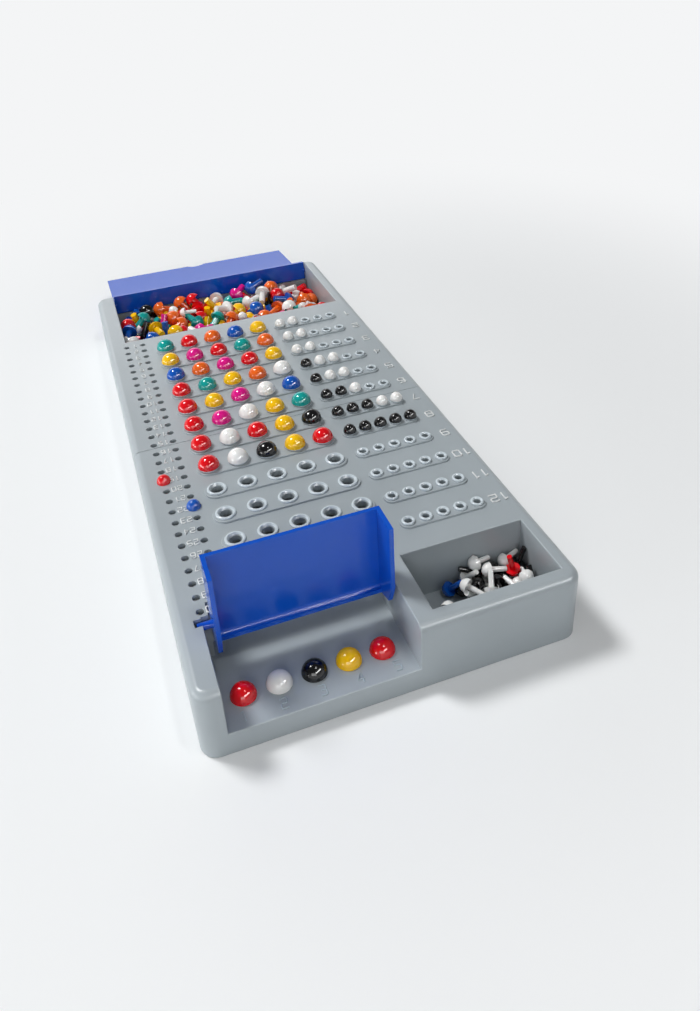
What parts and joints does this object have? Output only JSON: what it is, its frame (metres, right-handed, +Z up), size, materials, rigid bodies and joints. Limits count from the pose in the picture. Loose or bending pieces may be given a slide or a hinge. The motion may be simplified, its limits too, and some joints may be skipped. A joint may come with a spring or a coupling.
{
  "type": "code breaking peg game",
  "caption": "Long grey peg board in two plug-together halves with rows of holes, a hinged blue code shield, a hinged tray lid and domed coloured pegs.",
  "frame": {"origin": "on the table, at the centre of the footprint of board and opened lid", "axes": "+Y from the code maker's side to the peg tray, +X to the right with the score track on the left, +Z up"},
  "size_m": [0.136, 0.3682, 0.0555],
  "materials": {
    "board_grey": "satin",
    "cover_blue": "gloss",
    "peg_red": "gloss",
    "peg_magenta": "gloss",
    "peg_orange": "gloss",
    "peg_yellow": "gloss",
    "peg_blue": "gloss",
    "peg_teal": "gloss",
    "peg_white": "gloss",
    "peg_black": "gloss"
  },
  "bodies": {
    "front_half": {"front_half": "board_grey"},
    "rear_half": {"rear_half": "board_grey"},
    "code_shield": {"code_shield": "cover_blue"},
    "peg_tray_lid": {"peg_tray_lid": "cover_blue"},
    "guess_1": {"guess_1_peg_1": "peg_teal", "guess_1_peg_2": "peg_red", "guess_1_peg_3": "peg_orange", "guess_1_peg_4": "peg_blue", "guess_1_peg_5": "peg_yellow"},
    "guess_2": {"guess_2_peg_1": "peg_yellow", "guess_2_peg_2": "peg_magenta", "guess_2_peg_3": "peg_red", "guess_2_peg_4": "peg_teal", "guess_2_peg_5": "peg_orange"},
    "guess_3": {"guess_3_peg_1": "peg_blue", "guess_3_peg_2": "peg_orange", "guess_3_peg_3": "peg_magenta", "guess_3_peg_4": "peg_red", "guess_3_peg_5": "peg_yellow"},
    "guess_4": {"guess_4_peg_1": "peg_red", "guess_4_peg_2": "peg_teal", "guess_4_peg_3": "peg_yellow", "guess_4_peg_4": "peg_orange", "guess_4_peg_5": "peg_white"},
    "guess_5": {"guess_5_peg_1": "peg_red", "guess_5_peg_2": "peg_yellow", "guess_5_peg_3": "peg_magenta", "guess_5_peg_4": "peg_white", "guess_5_peg_5": "peg_blue"},
    "guess_6": {"guess_6_peg_1": "peg_red", "guess_6_peg_2": "peg_magenta", "guess_6_peg_3": "peg_white", "guess_6_peg_4": "peg_yellow", "guess_6_peg_5": "peg_teal"},
    "guess_7": {"guess_7_peg_1": "peg_red", "guess_7_peg_2": "peg_white", "guess_7_peg_3": "peg_red", "guess_7_peg_4": "peg_yellow", "guess_7_peg_5": "peg_black"},
    "guess_8": {"guess_8_peg_1": "peg_red", "guess_8_peg_2": "peg_white", "guess_8_peg_3": "peg_black", "guess_8_peg_4": "peg_yellow", "guess_8_peg_5": "peg_red"},
    "secret_peg_1": {"secret_peg_1": "peg_red"},
    "secret_peg_2": {"secret_peg_2": "peg_white"},
    "secret_peg_3": {"secret_peg_3": "peg_black"},
    "secret_peg_4": {"secret_peg_4": "peg_yellow"},
    "secret_peg_5": {"secret_peg_5": "peg_red"},
    "score_marker_red": {"score_marker_red": "peg_red"},
    "score_marker_blue": {"score_marker_blue": "peg_blue"}
  },
  "joints": [
    {"name": "halves_plug", "type": "slide", "parent": "front_half", "child": "rear_half", "axis": [0, 1, 0], "range_m": [0, 0.012]},
    {"name": "shield_hinge", "type": "hinge", "parent": "front_half", "child": "code_shield", "pos_m": [-0.056, -0.15394, 0.026], "axis": [-1, 0, 0], "range_deg": [-90, 0]},
    {"name": "lid_hinge", "type": "hinge", "parent": "rear_half", "child": "peg_tray_lid", "pos_m": [-0.0581, 0.12194, 0.0226], "axis": [1, 0, 0], "range_deg": [0, 185]},
    {"name": "guess_1_lift", "type": "slide", "parent": "rear_half", "child": "guess_1", "axis": [0, 0, 1], "range_m": [0, 0.012]},
    {"name": "guess_2_lift", "type": "slide", "parent": "rear_half", "child": "guess_2", "axis": [0, 0, 1], "range_m": [0, 0.012]},
    {"name": "guess_3_lift", "type": "slide", "parent": "rear_half", "child": "guess_3", "axis": [0, 0, 1], "range_m": [0, 0.012]},
    {"name": "guess_4_lift", "type": "slide", "parent": "rear_half", "child": "guess_4", "axis": [0, 0, 1], "range_m": [0, 0.012]},
    {"name": "guess_5_lift", "type": "slide", "parent": "rear_half", "child": "guess_5", "axis": [0, 0, 1], "range_m": [0, 0.012]},
    {"name": "guess_6_lift", "type": "slide", "parent": "rear_half", "child": "guess_6", "axis": [0, 0, 1], "range_m": [0, 0.012]},
    {"name": "guess_7_lift", "type": "slide", "parent": "front_half", "child": "guess_7", "axis": [0, 0, 1], "range_m": [0, 0.012]},
    {"name": "guess_8_lift", "type": "slide", "parent": "front_half", "child": "guess_8", "axis": [0, 0, 1], "range_m": [0, 0.012]},
    {"name": "secret_peg_1_lift", "type": "slide", "parent": "front_half", "child": "secret_peg_1", "axis": [0, 0, 1], "range_m": [0, 0.012]},
    {"name": "secret_peg_2_lift", "type": "slide", "parent": "front_half", "child": "secret_peg_2", "axis": [0, 0, 1], "range_m": [0, 0.012]},
    {"name": "secret_peg_3_lift", "type": "slide", "parent": "front_half", "child": "secret_peg_3", "axis": [0, 0, 1], "range_m": [0, 0.012]},
    {"name": "secret_peg_4_lift", "type": "slide", "parent": "front_half", "child": "secret_peg_4", "axis": [0, 0, 1], "range_m": [0, 0.012]},
    {"name": "secret_peg_5_lift", "type": "slide", "parent": "front_half", "child": "secret_peg_5", "axis": [0, 0, 1], "range_m": [0, 0.012]},
    {"name": "score_marker_red_lift", "type": "slide", "parent": "front_half", "child": "score_marker_red", "axis": [0, 0, 1], "range_m": [0, 0.01]},
    {"name": "score_marker_blue_lift", "type": "slide", "parent": "front_half", "child": "score_marker_blue", "axis": [0, 0, 1], "range_m": [0, 0.01]}
  ]
}
